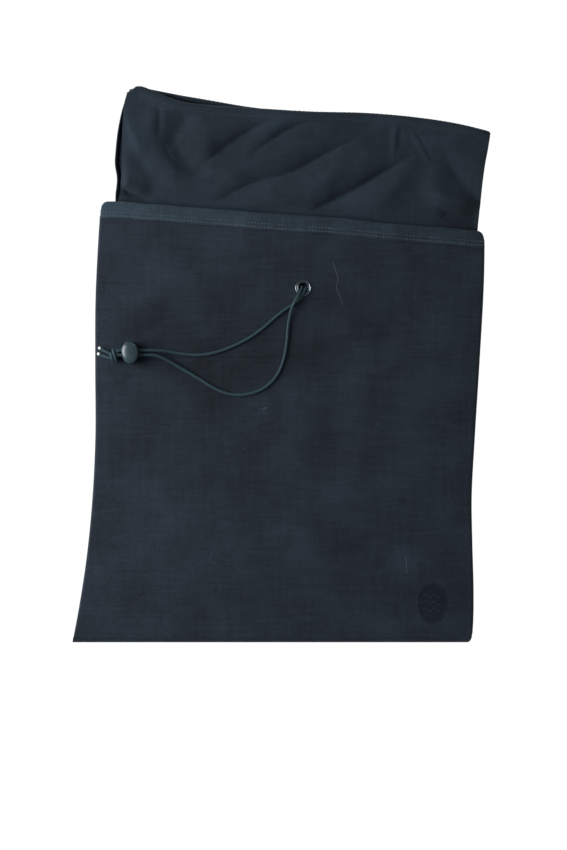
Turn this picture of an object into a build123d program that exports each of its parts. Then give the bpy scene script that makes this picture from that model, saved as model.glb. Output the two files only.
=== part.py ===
from build123d import *
import math
import os

# Kayak spray skirt, laid flat and folded once at the seam between waist tunnel and deck.
# X is across the waist, +Y points from the fold to the hem and the deck rim, Z is up off the floor.
# The origin is on the floor, in the middle of the outline. All sizes are in millimetres.

# ---- driving dimensions ----
CLOTH = 1.0                 # thickness of the coated cloth
HALF_WIDTH = 209.5          # half of the greatest width
HALF_LENGTH = 279.0         # half of the greatest length
CORD = 3.0                  # drawcord diameter
SHOCK = 4.0                 # rim shock cord diameter
CASING_BORE = 4.4           # rim casing, inside
CASING = 5.8                # rim casing, outside
AIR = 0.15                  # small gap between neighbouring soft pieces
RIM_GAP = 0.6               # gap between a deck panel and its rim casing

# ---- heights of the layers, bottom faces, counted up from the floor ----
Z_LOWER = 0.0
Z_SIDE_LOW = 1.4
Z_SIDE_HIGH = 3.6
Z_UPPER = 5.2
Z_BACK = 6.6
Z_FRONT = 11.5
Z_FRONT_TOP = Z_FRONT + CLOTH
Z_BACK_TOP = Z_BACK + CLOTH
Z_RIM_LOW = CASING / 2
Z_RIM_HIGH = 13.1
CUT_HEIGHT = 60.0           # taller than any layer, for the outline cutters
SIDE_DEPTH = 95.0           # how far the side panels are folded in

# ---- fold at the base of the tunnel ----
FOLD_Z = Z_FRONT_TOP / 2                    # height of the hinge line
FOLD_Y = -HALF_LENGTH + FOLD_Z              # where flat layers end and the turn begins
INNER_Z = (Z_UPPER + Z_BACK_TOP) / 2
SEAM_OUT = 1.0              # side seam of the tunnel: distances in from the outline
SEAM_IN = 6.0
SIDE_INSET = 1.0            # folded side panels stay this far inside the deck's outline
LEFT_SIDE_TOP = 246         # where the folded side panels end, below the rim
RIGHT_SIDE_TOP = 205
DECK_RIGHT_END = (206.0, 222)

# ---- waist hem ----
HEM_TALL = 16.5
HEM_THICK = 3.2
HEM_FRONT_Z = Z_FRONT + 0.1
HEM_BACK_Z = Z_BACK - 0.1
HEM_CORNER = 4.0            # rounding of the hem's ends in plan

# ---- eyelet ----
EYELET = (21.7, 76.0)
EYELET_OUT = 16.5
EYELET_HOLE = 10.0
EYELET_TALL = 1.6
BARREL_OUT = 11.0
WASHER_OUT = 15.5
WASHER_THICK = 0.3
PANEL_HOLE = 11.6

# ---- drawcord inside the tunnel ----
LOOP_Z = 9.5
LOOP_FRONT_Y = 79.0
LOOP_BACK_Y = 63.5
LOOP_LEFT = -177.5
LOOP_RIGHT = 193.0
TAPE = 0.35
CHANNEL_WIDE = 8.0
CHANNEL_LEFT = -168.0
CHANNEL_RIGHT = 184.0
CHANNEL_GAP = (6.0, 38.0)

# ---- cord lock ----
LOCK = (-150.7, 11.2)
LOCK_X = 16.5
LOCK_Y = 22.5
LOCK_FOOT = Z_FRONT_TOP + 0.3
LOCK_FLOOR = 1.1            # bottom wall of the body
LOCK_BODY_TALL = 13.6
LOCK_BUTTON_TALL = 4.6      # how far the button stands out of the body
LOCK_PRESS = 2.8            # button travel
LOCK_WALL = 1.6
LOCK_SPRING_TALL = 4.2
LOCK_SPRING_OUT = 9.0
LOCK_ROUND = 1.4            # rounding of the body's edges
LOCK_CROWN = 3.0            # rounding of the button's top
LOCK_PLAY = 0.35            # gap between button and body
SPRING_WALL = 0.8
SLOT_PLAY = 1.0             # how much wider than the cord the body's holes are
BUTTON_SLOT_PLAY = 0.8
LOCK_WEB = 1.2              # bar of the button that pinches the cords from below
STRAND_PITCH = 4.6
STRAND_Z = LOCK_FOOT + LOCK_FLOOR + LOCK_SPRING_TALL + LOCK_WEB + 0.1 + CORD / 2
LAY_Z = Z_FRONT_TOP + CORD / 2 + 0.3        # centre of a strand that lies on the panel

# ---- knot ----
KNOT = (-167.0, 8.5)
KNOT_LONG = 9.0
KNOT_WIDE = 14.0
KNOT_TALL = 11.4
KNOT_ROUND = 1.6

# ---- grab loop and emblem ----
WEBBING = 1.3
LOOP_STRAP = 20.0
GRAB = (24.0, 205.0)        # middle of the grab loop in plan
GRAB_LONG = 74.0
GRAB_AIR = 0.5              # gap between the two runs of webbing
GRAB_LIFT = CLOTH + 0.2     # underside of the webbing
PATCH_Y = 230.0
PATCH_X_SIZE = 34.0
PATCH_Y_SIZE = 20.0
PATCH_THICK = 0.8
EMBLEM = (150.5, -239.0)
EMBLEM_X = 31.0
EMBLEM_Y = 42.0
EMBLEM_THICK = 0.4

# ---- outlines in plan, as points from the fold up to the top ----
TUNNEL_LEFT = [(-HALF_WIDTH, -HALF_LENGTH), (-206.9, -266), (-201.5, -236), (-195.5, -196), (-189.5, -136),
               (-186.5, -76), (-186.5, 64), (-183.5, 124), (-181.5, 162)]
TUNNEL_RIGHT = [(189.4, -267), (191.5, -254), (192.5, -226), (190.5, -136), (193.5, -76),
                (198.5, 4), (203.0, 90), (203.5, 140)]
DECK_LEFT_LOW = [(-206.5, FOLD_Y), (-191, -196), (-181, -76), (-176, 30), (-169, 130),
                 (-166.5, 166), (-164.5, 187), (-166.5, 200), (-165, 230), (-158, 262)]
DECK_LEFT_HIGH = [(-206.5, FOLD_Y), (-191, -196), (-181, -76), (-176, 30), (-167, 130),
                  (-161.5, 177), (-159.8, 219), (-158.3, 245), (-156.5, 258)]
DECK_RIGHT = [(184, FOLD_Y), (188, -226), (187, -136), (190, -76), (194.5, 4), (196.5, 138),
              (200.5, 180), (203.5, 204), (HALF_WIDTH, 233)]
RIM_LOW = [(-150.2, 273.0), (-144.5, 276.55), (-76.5, 263.1), (-26, 254.6), (28.5, 250.2), (88.5, 248.3),
           (133.5, 244.2), (178.5, 237.2), (206.6, 230.4)]
RIM_HIGH = [(-150.2, 272.4), (-144.5, 275.2), (-128, 270.2), (-111, 263.4), (-94, 259.0), (-70, 256.2),
            (-26, 253.4), (28.5, 250.2), (88.5, 248.3), (133.5, 244.2), (178.5, 237.2), (206.6, 230.4)]
HEM_TOP = [(-181.0, 162.2), (-166.5, 162.5), (-84.5, 156.5), (8.5, 149.0), (126.5, 139.0), (203.0, 132.8)]

HEM_SLOPE = (HEM_TOP[-1][1] - HEM_TOP[0][1]) / (HEM_TOP[-1][0] - HEM_TOP[0][0])
RISE_START = 153.5          # at X 0, just clear of the hem: the stern panel climbs from here
RISE_END = 192.0            # and is at the height of its rim from here

# ---- drawcord routes: the strand that leaves the eyelet on the left lies on top where they cross ----
STRAND_END_X = KNOT[0] + KNOT_LONG / 2 - 1.0
STRAND_UPPER_Y = LOCK[1] + STRAND_PITCH / 2
STRAND_LOWER_Y = LOCK[1] - STRAND_PITCH / 2
OVER_Z = Z_FRONT_TOP + EYELET_TALL + CORD / 2 + 1.9
CROSS_Z = LAY_Z + CORD + 3.2
LOWER_ROUTE = [(20.6, 76.4, 12.2), (19.6, 73.6, OVER_Z - 0.9), (16.4, 68.0, CROSS_Z), (12.2, 60.4, CROSS_Z),
               (8.6, 51.0, LAY_Z + 2.2), (6.4, 37.0, LAY_Z), (5.4, 21.0, LAY_Z), (2.6, 5.0, LAY_Z),
               (-3.0, -10.0, LAY_Z), (-13.5, -22.3, LAY_Z), (-28.0, -29.6, LAY_Z), (-46.5, -31.7, LAY_Z),
               (-64.0, -26.6, LAY_Z), (-84.0, -13.4, LAY_Z), (-101.5, -3.6, LAY_Z + 0.4),
               (-114.5, 4.4, LAY_Z + 3.2), (-126.0, STRAND_LOWER_Y, STRAND_Z),
               (STRAND_END_X, STRAND_LOWER_Y, STRAND_Z)]
UPPER_ROUTE = [(24.2, 75.6, 12.2), (23.0, 72.6, OVER_Z - 0.9), (19.0, 66.0, OVER_Z - 0.6),
               (13.6, 60.6, LAY_Z + 0.4), (5.0, 55.6, LAY_Z), (-6.0, 46.8, LAY_Z), (-19.5, 34.6, LAY_Z),
               (-36.0, 23.4, LAY_Z), (-54.0, 15.2, LAY_Z), (-71.0, 9.9, LAY_Z), (-87.0, 8.6, LAY_Z),
               (-101.5, 10.4, LAY_Z + 0.4), (-114.0, 12.6, LAY_Z + 3.2),
               (-126.0, STRAND_UPPER_Y, STRAND_Z), (STRAND_END_X, STRAND_UPPER_Y, STRAND_Z)]
TAIL_HIGH = [(-170.5, 10.0, 17.4), (-174.0, 11.6, 16.8), (-178.4, 14.0, 15.4), (-182.6, 16.4, 14.6)]
TAIL_LOW = [(-170.5, 5.6, 17.4), (-174.6, 7.0, 16.6), (-179.2, 8.6, 15.2), (-183.8, 10.4, 14.4)]
HIDDEN_ROUTE = [(24.2, 75.6, 12.2), (24.9, 77.0, 9.8), (31.5, LOOP_FRONT_Y, LOOP_Z),
                (LOOP_RIGHT, LOOP_FRONT_Y, LOOP_Z), (LOOP_RIGHT, LOOP_BACK_Y, LOOP_Z),
                (LOOP_LEFT, LOOP_BACK_Y, LOOP_Z), (LOOP_LEFT, LOOP_FRONT_Y, LOOP_Z),
                (13.0, LOOP_FRONT_Y, LOOP_Z), (19.9, 77.6, 9.7), (20.6, 76.4, 12.2)]


def save(shape, name):
    """Write one node."""
    shape.label = name
    export_step(shape, os.path.join("parts", name + ".step"))


def outline(left, right, top):
    """Closed face in plan: left and right edges as splines, joined by a straight bottom and a given top."""
    edges = Edge.make_spline([Vector(*p) for p in left])
    other = Edge.make_spline([Vector(*p) for p in right])
    path = [Vector(*left[-1])] + [Vector(*p) for p in top] + [Vector(*right[-1])]
    tops = [Edge.make_line(a, b) for a, b in zip(path, path[1:])]
    bottom = Edge.make_line(Vector(*left[0]), Vector(*right[0]))
    return Face(Wire([edges, other, bottom] + tops))


def slab(face, bottom, thick):
    """Flat sheet: a face in plan made into a solid from one height."""
    return extrude(face.moved(Location((0, 0, bottom))), thick, dir=(0, 0, 1))


def cutter(face):
    return extrude(face.moved(Location((0, 0, -CUT_HEIGHT / 2))), CUT_HEIGHT * 2, dir=(0, 0, 1))


def arcs(points):
    """Radius of each corner: 0.45 of the shorter run over the tangent of half the turn."""
    radii = []
    for a, b, c in zip(points, points[1:], points[2:]):
        first = Vector(*b) - Vector(*a)
        second = Vector(*c) - Vector(*b)
        turn = math.radians(first.get_angle(second))
        radii.append(0.45 * min(first.length, second.length) / math.tan(turn / 2))
    return radii


def tube(points, diameter, name):
    """Round cord along straight runs and tangent arcs."""
    radii = arcs(points)
    path = FilletPolyline(*points, radius=radii)
    start = Plane(origin=path @ 0, z_dir=path % 0)
    solid = sweep(start * Circle(diameter / 2), path=path)
    ideal = math.pi * diameter ** 2 / 4 * path.length
    print(f"{name}: length {path.length:.0f}, volume {solid.volume / ideal:.3f} of ideal, radii",
          [round(r) for r in radii])
    return solid


def raised_profile(low, high, start, end, length):
    """Side view of a sheet that climbs from one height to another, as a face in the YZ plane at X 0."""
    middle = (start + end) / 2
    lift = (high - low) / 2
    rise = [(start, low), (middle - 6, low + lift * 0.72), (middle + 6, high - lift * 0.72), (end, high)]
    bottom = [(FOLD_Y - 60, low)] + rise + [(length, high)]
    top = [(y, z + CLOTH) for y, z in reversed(bottom)]
    wire = Wire.make_polygon([Vector(0, y, z) for y, z in bottom + top], close=True)
    return Face(wire)


# ---- deck ----
def lower_panel():
    rim = [(x, y - CASING / 2 - RIM_GAP) for x, y in RIM_LOW]
    face = outline(DECK_LEFT_LOW, DECK_RIGHT[:-1] + [DECK_RIGHT_END], rim[1:-1])
    return slab(face, Z_LOWER, CLOTH)


def upper_panel():
    rim = [(x, y - CASING / 2 - RIM_GAP) for x, y in RIM_HIGH]
    face = outline(DECK_LEFT_HIGH, DECK_RIGHT[:-1] + [DECK_RIGHT_END], rim[1:-1])
    profile = raised_profile(Z_UPPER, Z_RIM_HIGH - CLOTH / 2, RISE_START, RISE_END, HALF_LENGTH + 60)
    along = Vector(1, HEM_SLOPE, 0).normalized()
    sheet = extrude(profile, 260, dir=along) + extrude(profile, 260, dir=-along)
    return sheet & cutter(face)


def folded_side(edge_points, sign, bottom, top):
    """Two leaves and their fold, cut to the slanting outer edge of the deck."""
    middle = (Z_SIDE_LOW + Z_SIDE_HIGH + CLOTH) / 2
    outer = (Z_SIDE_HIGH + CLOTH - Z_SIDE_LOW) / 2
    line = [(x - sign * SIDE_INSET, y) for x, y in edge_points if bottom <= y <= top]
    inner_x = sum(x for x, y in line) / len(line) - sign * SIDE_DEPTH
    leaf_end = [(inner_x, bottom), (inner_x, top)]
    side = Edge.make_spline([Vector(*p) for p in line])
    close = [Edge.make_line(Vector(*line[-1]), Vector(*leaf_end[1])),
             Edge.make_line(Vector(*leaf_end[1]), Vector(*leaf_end[0])),
             Edge.make_line(Vector(*leaf_end[0]), Vector(*line[0]))]
    face = Face(Wire([side] + close))
    leaves = slab(face, Z_SIDE_LOW, CLOTH) + slab(face, Z_SIDE_HIGH, CLOTH)
    ring = Circle(outer) - Circle(outer - CLOTH)
    ring -= Pos(sign * outer, 0) * Rectangle(2 * outer, 3 * outer)
    low_y, high_y = line[0][1], line[-1][1]
    plane = Plane(origin=(inner_x, high_y, middle), x_dir=(1, 0, 0), z_dir=(0, -1, 0))
    bend = extrude(plane * ring, high_y - low_y)
    return leaves + bend


# ---- rim ----
def rim_path(run, height, middle):
    """Half of the rim loop: along one rim, with a quarter turn towards the other rim at each end."""
    first = (run[0][0], run[0][1], middle)
    last = (run[-1][0], run[-1][1], middle)
    points = [first] + [(x, y, height) for x, y in run] + [last]
    turn = abs(height - middle) - 0.1
    inner = arcs(points)[1:-1]
    radii = [turn] + [min(r, 400) for r in inner] + [turn]
    return FilletPolyline(*points, radius=radii)


def rim_tube(path, outside, inside):
    start = Plane(origin=path @ 0, z_dir=path % 0)
    section = Circle(outside / 2)
    if inside:
        section -= Circle(inside / 2)
    return sweep(start * section, path=path)


# ---- tunnel ----
def hem_line(drop):
    return [(x, y - drop) for x, y in HEM_TOP]


def tunnel_face():
    top = hem_line(HEM_TALL + AIR)
    corner = (184.5, -HALF_LENGTH)
    right = [corner] + TUNNEL_RIGHT[:-1] + [(203.5, top[-1][1])]
    left = TUNNEL_LEFT[:-1] + [(-182.3, top[0][1])]
    return outline(left, right, top[1:-1])


def flat_part(face):
    """The part of the tunnel's outline above the fold."""
    keep = Pos(0, FOLD_Y + AIR + 400) * Rectangle(600, 800)
    return face & keep


def fold_ring(centre_z, outer, left, right):
    """Half ring of cloth round the bottom edge."""
    ring = Circle(outer) - Circle(outer - CLOTH)
    ring -= Pos(outer, 0) * Rectangle(2 * outer, 3 * outer)
    plane = Plane(origin=(left, FOLD_Y, centre_z), x_dir=(0, 1, 0), z_dir=(1, 0, 0))
    return extrude(plane * ring, right - left)


def hem(bottom):
    points = hem_line(0) + list(reversed(hem_line(HEM_TALL)))
    face = Face(Wire.make_polygon([Vector(*p) for p in points], close=True))
    solid = slab(face, bottom, HEM_THICK)
    upright = solid.edges().filter_by(Axis.Z)
    corners = [e for e in upright if abs(e.center().X) > 170 and e.center().Y > 125]
    return fillet(corners, HEM_CORNER)


def side_binding(points, sign):
    """Seam that joins front and back panel along one side of the tunnel."""
    inside = [(x - sign * SEAM_OUT, y) for x, y in points]
    inner = [(x - sign * SEAM_IN, y) for x, y in points]
    a = Edge.make_spline([Vector(*p) for p in inside])
    b = Edge.make_spline([Vector(*p) for p in inner])
    ends = [Edge.make_line(Vector(*inside[0]), Vector(*inner[0])),
            Edge.make_line(Vector(*inside[-1]), Vector(*inner[-1]))]
    face = Face(Wire([a, b] + ends))
    return slab(face, Z_BACK_TOP + 0.1, Z_FRONT - Z_BACK_TOP - 0.2)


def channel(y, left, right, floor_low):
    """Tape trough that holds the drawcord against one panel."""
    tall = Z_FRONT - Z_BACK_TOP - 0.1
    middle_z = (Z_FRONT + Z_BACK_TOP) / 2
    box = Pos((left + right) / 2, y, middle_z) * Box(right - left, CHANNEL_WIDE, tall)
    shift = TAPE if floor_low else -TAPE
    bore = Box(right - left + 1, CHANNEL_WIDE - 2 * TAPE, tall)
    hollow = Pos((left + right) / 2, y, middle_z + shift) * bore
    return box - hollow


# ---- eyelet ----
def eyelet_flange():
    ring_r = (EYELET_OUT + EYELET_HOLE) / 4
    half = (EYELET_OUT - EYELET_HOLE) / 4
    crown = Pos(ring_r, 0) * Ellipse(half, EYELET_TALL)
    crown &= Pos(ring_r, EYELET_TALL) * Rectangle(4 * half, 2 * EYELET_TALL)
    barrel_wide = (BARREL_OUT - EYELET_HOLE) / 2
    barrel_tall = Z_FRONT_TOP - (Z_FRONT - WASHER_THICK)
    barrel = Pos(EYELET_HOLE / 2 + barrel_wide / 2, -barrel_tall / 2 + 0.05)
    section = crown + barrel * Rectangle(barrel_wide, barrel_tall + 0.1)
    solid = revolve(Plane.XZ * section, Axis.Z)
    return Pos(EYELET[0], EYELET[1], Z_FRONT_TOP + 0.02) * solid


def eyelet_washer():
    ring = Circle(WASHER_OUT / 2) - Circle(BARREL_OUT / 2 + 0.1)
    return extrude(Pos(EYELET[0], EYELET[1], Z_FRONT - WASHER_THICK) * ring, WASHER_THICK - 0.02)


# ---- cord lock ----
def oval(x_size, y_size):
    return Ellipse(x_size / 2, y_size / 2)


def lock_body():
    base = Pos(LOCK[0], LOCK[1], LOCK_FOOT)
    body = extrude(base * oval(LOCK_X, LOCK_Y), LOCK_BODY_TALL)
    body = fillet(body.edges(), LOCK_ROUND)
    well = oval(LOCK_X - 2 * LOCK_WALL, LOCK_Y - 2 * LOCK_WALL)
    body -= extrude(Pos(LOCK[0], LOCK[1], LOCK_FOOT + LOCK_FLOOR) * well, LOCK_BODY_TALL)
    return body - cord_slots(CORD + SLOT_PLAY, CORD + SLOT_PLAY, STRAND_Z)


def cord_slots(wide, tall, middle):
    """Two holes through the lock, along the strands."""
    slots = Part()
    for side in (-1, 1):
        y = LOCK[1] + side * STRAND_PITCH / 2
        section = Rectangle(wide, tall)
        plane = Plane(origin=(LOCK[0] - LOCK_X, y, middle), x_dir=(0, 1, 0), z_dir=(1, 0, 0))
        slots += extrude(plane * section, 2 * LOCK_X)
    return slots


def lock_button():
    """Oval button: its lower bar lies under the cords, so the spring pinches them against the body."""
    top = LOCK_FOOT + LOCK_BODY_TALL + LOCK_BUTTON_TALL
    foot = LOCK_FOOT + LOCK_FLOOR + LOCK_SPRING_TALL
    play = LOCK_WALL + LOCK_PLAY
    section = oval(LOCK_X - 2 * play, LOCK_Y - 2 * play)
    stem = extrude(Pos(LOCK[0], LOCK[1], foot) * section, top - foot)
    crown = [e for e in stem.edges() if e.center().Z > top - 0.1]
    stem = fillet(crown, LOCK_CROWN)
    slot_low = foot + LOCK_WEB
    slot_high = STRAND_Z + CORD / 2 + LOCK_PRESS + 0.3
    return stem - cord_slots(CORD + BUTTON_SLOT_PLAY, slot_high - slot_low, (slot_low + slot_high) / 2)


def lock_spring():
    ring = Circle(LOCK_SPRING_OUT / 2) - Circle(LOCK_SPRING_OUT / 2 - SPRING_WALL)
    foot = LOCK_FOOT + LOCK_FLOOR
    return extrude(Pos(LOCK[0], LOCK[1], foot) * ring, LOCK_SPRING_TALL)


def knot():
    plane = Plane(origin=(KNOT[0] - KNOT_LONG / 2, KNOT[1], LOCK_FOOT + KNOT_TALL / 2),
                  x_dir=(0, 1, 0), z_dir=(1, 0, 0))
    body = extrude(plane * Ellipse(KNOT_WIDE / 2, KNOT_TALL / 2), KNOT_LONG)
    return fillet(body.edges(), KNOT_ROUND)


# ---- grab loop and emblem ----
def grab_loop():
    """Webbing loop, folded back on itself, lying on the bow panel inside the mouth."""
    x, y = GRAB
    lower = Pos(x, y, GRAB_LIFT + WEBBING / 2) * Box(LOOP_STRAP, GRAB_LONG, WEBBING)
    upper = Pos(x, y, GRAB_LIFT + WEBBING * 1.5 + GRAB_AIR) * Box(LOOP_STRAP, GRAB_LONG, WEBBING)
    outer = (2 * WEBBING + GRAB_AIR) / 2
    ring = Circle(outer) - Circle(outer - WEBBING)
    ring -= Pos(outer, 0) * Rectangle(2 * outer, 3 * outer)
    plane = Plane(origin=(x - LOOP_STRAP / 2, y - GRAB_LONG / 2, GRAB_LIFT + outer),
                  x_dir=(0, 1, 0), z_dir=(1, 0, 0))
    return lower + upper + extrude(plane * ring, LOOP_STRAP)


def grab_patch():
    foot = GRAB_LIFT + 2 * WEBBING + GRAB_AIR + 0.1
    return Pos(GRAB[0], PATCH_Y, foot + PATCH_THICK / 2) * Box(PATCH_X_SIZE, PATCH_Y_SIZE, PATCH_THICK)


def emblem():
    return extrude(Pos(EMBLEM[0], EMBLEM[1], Z_FRONT_TOP + 0.02) * oval(EMBLEM_X, EMBLEM_Y), EMBLEM_THICK)


def main():
    os.makedirs("parts", exist_ok=True)
    save(lower_panel(), "deck_lower_panel")
    save(upper_panel(), "deck_upper_panel")
    save(folded_side(DECK_LEFT_HIGH, -1, FOLD_Y, LEFT_SIDE_TOP), "deck_side_left")
    save(folded_side(DECK_RIGHT, 1, FOLD_Y, RIGHT_SIDE_TOP), "deck_side_right")

    middle = (Z_RIM_LOW + Z_RIM_HIGH) / 2
    low_path = rim_path(RIM_LOW, Z_RIM_LOW, middle)
    high_path = rim_path(RIM_HIGH, Z_RIM_HIGH, middle)
    save(rim_tube(low_path, CASING, CASING_BORE), "rim_casing_lower")
    save(rim_tube(high_path, CASING, CASING_BORE), "rim_casing_upper")
    save(rim_tube(low_path, SHOCK, 0) + rim_tube(high_path, SHOCK, 0), "rim_shock_cord")
    save(grab_loop(), "grab_loop")
    save(grab_patch(), "grab_loop_patch")

    face = tunnel_face()
    outer = fold_ring(FOLD_Z, FOLD_Z, -HALF_WIDTH - 10, HALF_WIDTH) & cutter(face)
    save(outer, "base_fold_outer")
    inner_radius = (Z_BACK_TOP - Z_UPPER) / 2
    save(fold_ring(INNER_Z, inner_radius, DECK_LEFT_LOW[0][0], DECK_RIGHT[0][0]), "base_fold_inner")

    hole = Pos(EYELET[0], EYELET[1], Z_FRONT + CLOTH / 2) * Cylinder(PANEL_HOLE / 2, 4)
    flat = flat_part(face)
    save(slab(flat.face(), Z_FRONT, CLOTH) - hole, "tunnel_front_panel")
    save(slab(flat.face(), Z_BACK, CLOTH), "tunnel_back_panel")
    save(side_binding(TUNNEL_LEFT[1:-1] + [(-182.7, 141)], -1), "tunnel_side_left")
    save(side_binding(TUNNEL_RIGHT[:-1] + [(203.4, 112)], 1), "tunnel_side_right")
    save(hem(HEM_FRONT_Z), "waist_hem_front")
    save(hem(HEM_BACK_Z), "waist_hem_back")

    front_left = channel(LOOP_FRONT_Y, CHANNEL_LEFT, CHANNEL_GAP[0], True)
    front_right = channel(LOOP_FRONT_Y, CHANNEL_GAP[1], CHANNEL_RIGHT, True)
    save(Compound(children=[front_left, front_right]), "drawcord_channel_front")
    save(channel(LOOP_BACK_Y, CHANNEL_LEFT, CHANNEL_RIGHT, False), "drawcord_channel_back")
    save(eyelet_flange(), "eyelet_flange")
    save(eyelet_washer(), "eyelet_washer")
    save(emblem(), "emblem_patch")

    save(tube(LOWER_ROUTE, CORD, "lower strand"), "drawcord_strand_lower")
    save(tube(UPPER_ROUTE, CORD, "upper strand"), "drawcord_strand_upper")
    save(tube(HIDDEN_ROUTE, CORD, "hidden cord"), "drawcord_in_channel")
    tails = [tube(TAIL_HIGH, CORD, "upper tail"), tube(TAIL_LOW, CORD, "lower tail")]
    save(Compound(children=tails), "cord_tails")
    save(knot(), "cord_knot")
    save(lock_body(), "cord_lock_body")
    save(lock_button(), "cord_lock_button")
    save(lock_spring(), "cord_lock_spring")


main()
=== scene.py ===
import math

import bpy
import numpy as np
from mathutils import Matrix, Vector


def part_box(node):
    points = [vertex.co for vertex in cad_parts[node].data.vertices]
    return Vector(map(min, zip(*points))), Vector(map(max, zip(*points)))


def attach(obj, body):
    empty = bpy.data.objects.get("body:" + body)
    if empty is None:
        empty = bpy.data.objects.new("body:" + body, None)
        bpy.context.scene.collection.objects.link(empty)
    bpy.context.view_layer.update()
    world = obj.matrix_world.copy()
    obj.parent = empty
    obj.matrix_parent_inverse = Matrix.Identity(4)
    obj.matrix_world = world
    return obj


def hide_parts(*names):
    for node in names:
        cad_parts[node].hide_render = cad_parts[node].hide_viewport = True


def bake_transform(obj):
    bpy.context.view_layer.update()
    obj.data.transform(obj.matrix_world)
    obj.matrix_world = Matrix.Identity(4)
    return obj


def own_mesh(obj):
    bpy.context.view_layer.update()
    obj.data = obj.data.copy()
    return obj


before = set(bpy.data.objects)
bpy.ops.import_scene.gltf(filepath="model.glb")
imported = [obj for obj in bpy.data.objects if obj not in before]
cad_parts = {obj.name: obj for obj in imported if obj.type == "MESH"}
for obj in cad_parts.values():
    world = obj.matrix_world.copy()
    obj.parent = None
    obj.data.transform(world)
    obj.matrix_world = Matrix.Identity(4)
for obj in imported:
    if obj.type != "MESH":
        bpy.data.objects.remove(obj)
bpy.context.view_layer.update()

# Lengths below are in millimetres in the row frame, and MM turns them into metres for Blender.
MM = 0.001
TURN = 2 * math.pi


def low(node):
    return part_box(node)[0] / MM


def high(node):
    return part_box(node)[1] / MM


# ---- heights and edges that the CAD parts set ----
CLOTH = high("deck_lower_panel").z - low("deck_lower_panel").z
FRONT_Z = (high("tunnel_front_panel").z + low("tunnel_front_panel").z) / 2
BACK_Z = (high("tunnel_back_panel").z + low("tunnel_back_panel").z) / 2
UPPER_Z = low("deck_upper_panel").z + CLOTH / 2
LOWER_Z = CLOTH / 2
FRONT_TOP = high("tunnel_front_panel").z
FOLD_Y = low("tunnel_front_panel").y  # where the flat panels meet the folds along the bottom edge
RIM_R = 2.9  # half the rim casing's thickness
RIM_LOW_Z = low("rim_casing_lower").z + RIM_R
RIM_HIGH_Z = high("rim_casing_upper").z - RIM_R
HEM_TALL = 16.5
HEM_SLOPE = -0.0766  # the hem falls this much for each mm to the right
HEM_THICK = 3.2
SEAM_ROWS = (2.2, 5.8)  # the hem's two rows of stitches, above its lower edge

# ---- light ----
KEY_POWER = 18
FILL_POWER = 2
WORLD_STRENGTH = 0.185

# ---- outlines in plan: edges as (y, x) from the fold upwards, tops as (x, y) from left to right ----
TUNNEL_LEFT = [(-279, -209.5), (-266, -206.9), (-236, -201.5), (-196, -195.5), (-136, -189.5), (-76, -186.5),
               (0, -186.6), (64, -186.3), (124, -183.5), (162, -181.0)]
TUNNEL_RIGHT = [(-279, 184.5), (-278, 187.0), (-275.5, 189.4), (-271, 190.9), (-262, 191.8), (-250, 192.3),
                (-226, 192.4), (-180, 191.2),
                (-136, 190.5), (-76, 193.5), (4, 198.5), (90, 203.0), (140, 203.6)]
HEM_LINE = [(-181, 162.2), (-166.5, 162.5), (-128.5, 160.0), (-84.5, 156.5), (8.5, 149.0), (48.5, 146.4),
            (126.5, 139.0), (175.5, 135.3), (203, 132.8)]
DECK_LEFT_LOW = [(-273, -206.5), (-196, -191), (-76, -181), (30, -176), (130, -169), (166, -166.5), (187, -164.5),
                 (200, -166.5), (214, -165.8), (240, -162.5), (262, -157), (276, -151)]
DECK_LEFT_HIGH = [(-273, -206.5), (-196, -191), (-76, -181), (30, -176), (130, -166), (164, -163.5),
                  (177, -161.3), (219, -159.6), (245, -158.6), (261, -157.2), (276, -152.5)]
DECK_RIGHT = [(-273, 184), (-226, 187), (-136, 186), (-76, 189), (4, 193.5), (100, 195.6), (138, 196.8),
              (159, 198.7), (180, 200.6), (204, 203.6), (222, 206.8), (233, 208.4)]
RIM_LOW = [(-150.2, 273.0), (-144.5, 276.3), (-131.5, 273.2), (-76.5, 263.1), (-26, 254.8), (28.5, 250.4),
           (88.5, 248.6), (133.5, 244.6), (178.5, 237.6), (206.6, 230.8)]
RIM_HIGH = [(-150.2, 272.4), (-144.5, 274.9), (-128, 270.0), (-111, 263.3), (-94, 258.8), (-70, 256.0),
            (-26, 253.2), (28.5, 249.9), (88.5, 248.2), (133.5, 244.2), (178.5, 237.2), (206.6, 230.4)]

# ---- drawcord routes, repeated from part.py ----
CORD = 3.0
BRAID_YARNS = 5  # ridges round the cord, each way
BRAID_PITCH = 3.4  # along the cord, from one ridge to the next
EYELET = (21.7, 76.0)
LOCK = (-150.7, 11.2)
LAY_Z = FRONT_TOP + CORD / 2 + 0.3
STRAND_Z = (low("cord_lock_body").z + high("cord_lock_body").z) / 2 + 1.3
UPPER_Y = 13.5
LOWER_Y = 8.9
END_X = -163.5
STRAIGHT_X = -133.0  # the strands run straight through the lock from here on
CROSS_Z = 20.5
LOWER_ROUTE = [(20.6, 76.4, 12.2), (19.6, 73.6, 16.6), (16.4, 68.0, CROSS_Z), (12.2, 60.4, CROSS_Z),
               (8.6, 51.0, LAY_Z + 2.2), (6.4, 37.0, LAY_Z), (5.4, 21.0, LAY_Z), (2.6, 5.0, LAY_Z),
               (-3.0, -10.0, LAY_Z), (-13.5, -22.3, LAY_Z), (-28.0, -29.6, LAY_Z), (-46.5, -31.7, LAY_Z),
               (-64.0, -26.6, LAY_Z), (-84.0, -13.4, LAY_Z), (-101.5, -3.6, LAY_Z + 0.4),
               (-114.5, 4.4, LAY_Z + 3.2), (-126.0, LOWER_Y, STRAND_Z), (STRAIGHT_X, LOWER_Y, STRAND_Z),
               (END_X, LOWER_Y, STRAND_Z)]
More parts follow.
